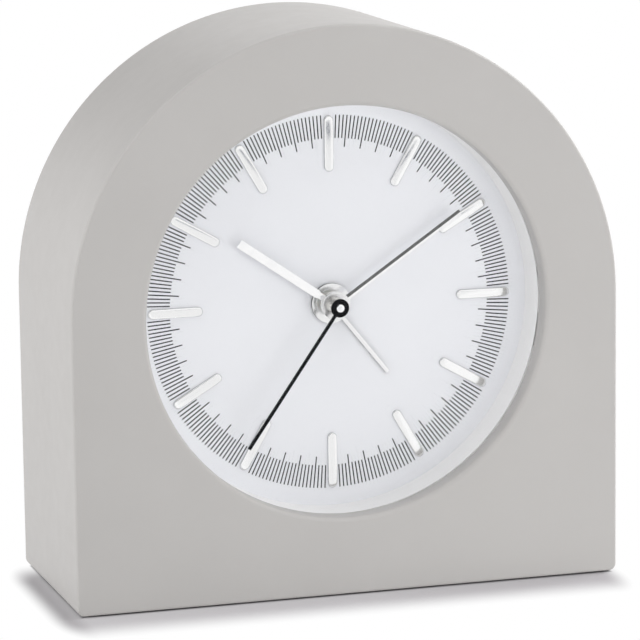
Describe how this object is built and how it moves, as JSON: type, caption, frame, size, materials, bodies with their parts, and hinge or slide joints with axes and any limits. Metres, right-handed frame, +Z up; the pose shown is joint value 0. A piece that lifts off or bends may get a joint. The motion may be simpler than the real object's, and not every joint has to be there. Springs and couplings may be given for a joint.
{
  "type": "beehive shelf clock",
  "caption": "Round-topped shelf clock with a deep round dial well, baton markers, slim hands and an alarm, on thin base pads.",
  "frame": {"origin": "under the middle of the base, on the surface that the clock stands on", "axes": "+Z up, the dial faces -Y, +X to the right as seen from the front"},
  "size_m": [0.16, 0.066, 0.1625],
  "materials": {
    "case_paint": "matte light warm grey paint over a fine filler, no grain",
    "white_plastic": "smooth matte white",
    "dial_white": "matte white paint with a printed black minute track",
    "lens_clear": "clear, polished, with a faint reflection",
    "polished_metal": "bright polished",
    "black_hand": "semi-matte black",
    "brass_turned": "turned",
    "screw_steel": "zinc-plated",
    "black_rubber": "matte",
    "housing_black": "fine moulded texture",
    "plate_brass": "stamped, nickel-free",
    "gear_white": "moulded acetal",
    "magnet_grey": "sintered magnet",
    "soft_iron": "laminated stator iron",
    "bobbin_white": "moulded bobbin",
    "copper_wire": "enamelled copper winding",
    "board_green": "glass-fibre circuit board",
    "resin_black": "resin drop",
    "can_metal": "bright can",
    "spring_metal": "nickel-plated spring bronze",
    "cover_black": "fine spark-eroded texture",
    "knob_black": "moulded, grooved",
    "switch_red": "moulded slider",
    "cell_jacket": "plain printed jacket",
    "buzzer_brass": "sounder cup",
    "lead_red": "insulated lead"
  },
  "bodies": {
    "clock": {"case_block": "case_paint", "base_pads": "black_rubber", "front_ring": "white_plastic", "lens": "lens_clear", "spacer_ring": "white_plastic", "dial": "dial_white", "hour_markers": "polished_metal", "carrier_plate": "white_plastic", "carrier_screws": "screw_steel", "movement_gasket": "black_rubber", "threaded_bushing": "brass_turned", "bushing_nut": "brass_turned", "movement_front_housing": "housing_black", "middle_plate": "plate_brass", "movement_rear_housing": "housing_black", "stator": "soft_iron", "coil_bobbin": "bobbin_white", "coil_winding": "copper_wire", "circuit_board": "board_green", "control_chip": "resin_black", "quartz_crystal": "can_metal", "alarm_contact_spring": "spring_metal", "rear_cover": "cover_black", "cover_screws": "screw_steel", "battery": "cell_jacket", "battery_contact_plus": "spring_metal", "battery_contact_minus": "spring_metal", "buzzer": "buzzer_brass", "switch_body": "housing_black", "battery_leads": "lead_red", "buzzer_leads": "lead_red", "switch_leads": "lead_red"},
    "second": {"second_hand": "black_hand", "second_hand_tube": "polished_metal", "second_wheel": "gear_white"},
    "minute": {"minute_hand": "polished_metal", "minute_hand_collar": "polished_metal", "centre_wheel": "gear_white"},
    "hour": {"hour_hand": "polished_metal", "hour_wheel": "gear_white"},
    "alarm": {"alarm_hand": "polished_metal", "alarm_wheel": "gear_white"},
    "third": {"third_wheel": "gear_white"},
    "fifth": {"fifth_wheel": "gear_white"},
    "rotor_body": {"rotor": "gear_white", "rotor_magnet": "magnet_grey"},
    "minute_work": {"minute_work_wheel": "gear_white"},
    "time_set": {"time_set_shaft": "gear_white", "time_knob": "knob_black"},
    "alarm_set": {"alarm_set_shaft": "gear_white", "alarm_knob": "knob_black"},
    "alarm_switch": {"alarm_switch_slider": "switch_red"},
    "door": {"battery_door": "cover_black"}
  },
  "joints": [
    {"name": "second_turn", "type": "hinge", "parent": "clock", "child": "second", "pos_m": [0, -0.0145, 0.0812], "axis": [0, 1, 0], "continuous": true},
    {"name": "minute_turn", "type": "hinge", "parent": "clock", "child": "minute", "pos_m": [0, -0.0145, 0.0812], "axis": [0, 1, 0], "continuous": true},
    {"name": "hour_turn", "type": "hinge", "parent": "clock", "child": "hour", "pos_m": [0, -0.0145, 0.0812], "axis": [0, 1, 0], "continuous": true},
    {"name": "third_wheel_turn", "type": "hinge", "parent": "clock", "child": "third", "pos_m": [0.00779, -0.0145, 0.0767], "axis": [0, 1, 0], "continuous": true},
    {"name": "fifth_wheel_turn", "type": "hinge", "parent": "clock", "child": "fifth", "pos_m": [-0.00717, -0.0145, 0.07618], "axis": [0, 1, 0], "continuous": true},
    {"name": "rotor_turn", "type": "hinge", "parent": "clock", "child": "rotor_body", "pos_m": [-0.01366, -0.0145, 0.07164], "axis": [0, 1, 0], "continuous": true},
    {"name": "minute_work_turn", "type": "hinge", "parent": "clock", "child": "minute_work", "pos_m": [0, -0.0145, 0.0896], "axis": [0, 1, 0], "continuous": true},
    {"name": "time_knob_turn", "type": "hinge", "parent": "clock", "child": "time_set", "pos_m": [0.0084, -0.0145, 0.0896], "axis": [0, 1, 0], "continuous": true},
    {"name": "alarm_turn", "type": "hinge", "parent": "clock", "child": "alarm", "pos_m": [0, -0.0145, 0.0812], "axis": [0, 1, 0], "continuous": true},
    {"name": "alarm_knob_turn", "type": "hinge", "parent": "clock", "child": "alarm_set", "pos_m": [-0.0084, -0.0145, 0.0896], "axis": [0, 1, 0], "continuous": true},
    {"name": "alarm_switch_slide", "type": "slide", "parent": "clock", "child": "alarm_switch", "axis": [0, 0, 1], "range_m": [0, 0.004]},
    {"name": "battery_door_hinge", "type": "hinge", "parent": "clock", "child": "door", "pos_m": [0, 0.0235, 0.0359], "axis": [-1, 0, 0], "range_deg": [0, 80]}
  ],
  "couplings": [
    {"joint": "minute_turn", "follows": "second_turn", "ratio": 0.016667},
    {"joint": "hour_turn", "follows": "second_turn", "ratio": 0.0013889},
    {"joint": "third_wheel_turn", "follows": "second_turn", "ratio": -0.13333},
    {"joint": "fifth_wheel_turn", "follows": "second_turn", "ratio": -6},
    {"joint": "rotor_turn", "follows": "second_turn", "ratio": 30},
    {"joint": "minute_work_turn", "follows": "second_turn", "ratio": -0.0055556},
    {"joint": "time_knob_turn", "follows": "second_turn", "ratio": 0.016667},
    {"joint": "alarm_knob_turn", "follows": "alarm_turn", "ratio": -1.5}
  ]
}
